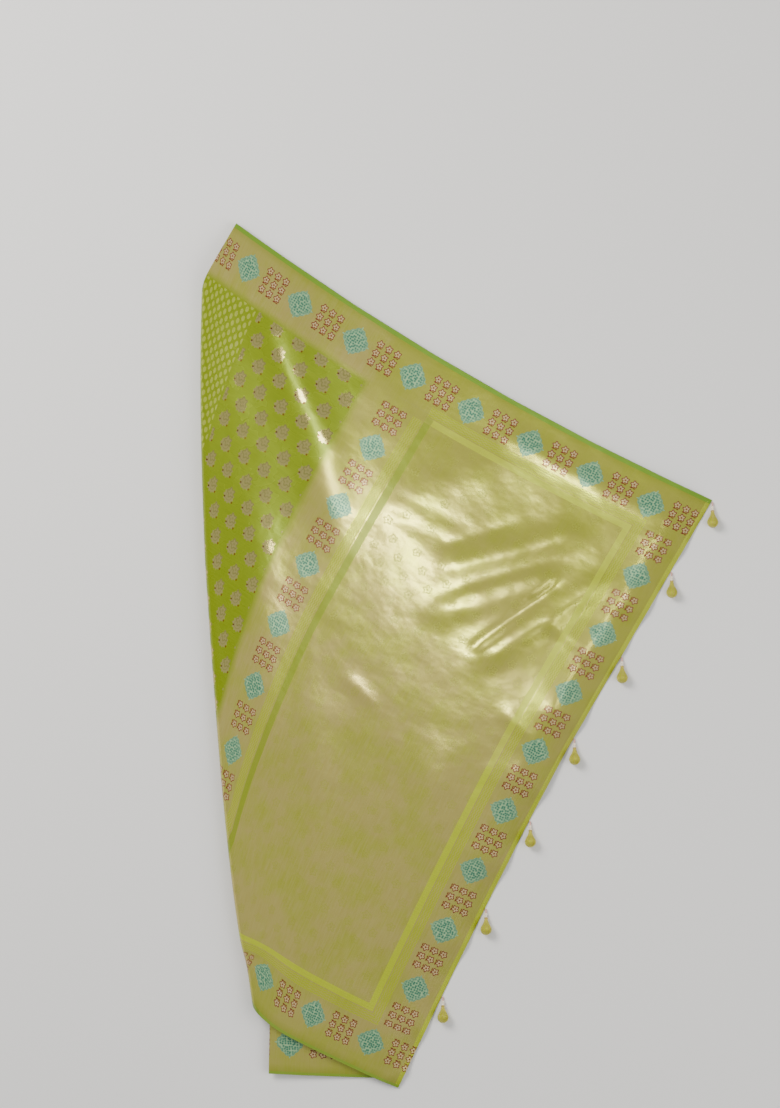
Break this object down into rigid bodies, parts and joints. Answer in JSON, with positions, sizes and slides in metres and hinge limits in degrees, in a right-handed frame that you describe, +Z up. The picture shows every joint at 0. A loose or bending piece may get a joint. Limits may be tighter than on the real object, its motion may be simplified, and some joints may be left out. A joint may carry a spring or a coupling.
{
  "type": "folded silk saree",
  "caption": "Silk saree laid flat and folded, its broad woven end on top with tassels along the hem.",
  "frame": {"origin": "on the floor, under the middle of the box that holds the cloth and its tassels", "axes": "+X towards the tasselled end, +Y towards the upper long edge, +Z up"},
  "size_m": [0.9698, 1.1946, 0.0322],
  "materials": {
    "silk": "lustrous silk with metallic gold weft",
    "tassel_thread": "wound silk thread"
  },
  "bodies": {
    "root": {"saree_cloth": "silk", "tassel_1": "tassel_thread", "tassel_2": "tassel_thread", "tassel_3": "tassel_thread", "tassel_4": "tassel_thread", "tassel_5": "tassel_thread", "tassel_6": "tassel_thread", "tassel_7": "tassel_thread"}
  },
  "joints": []
}
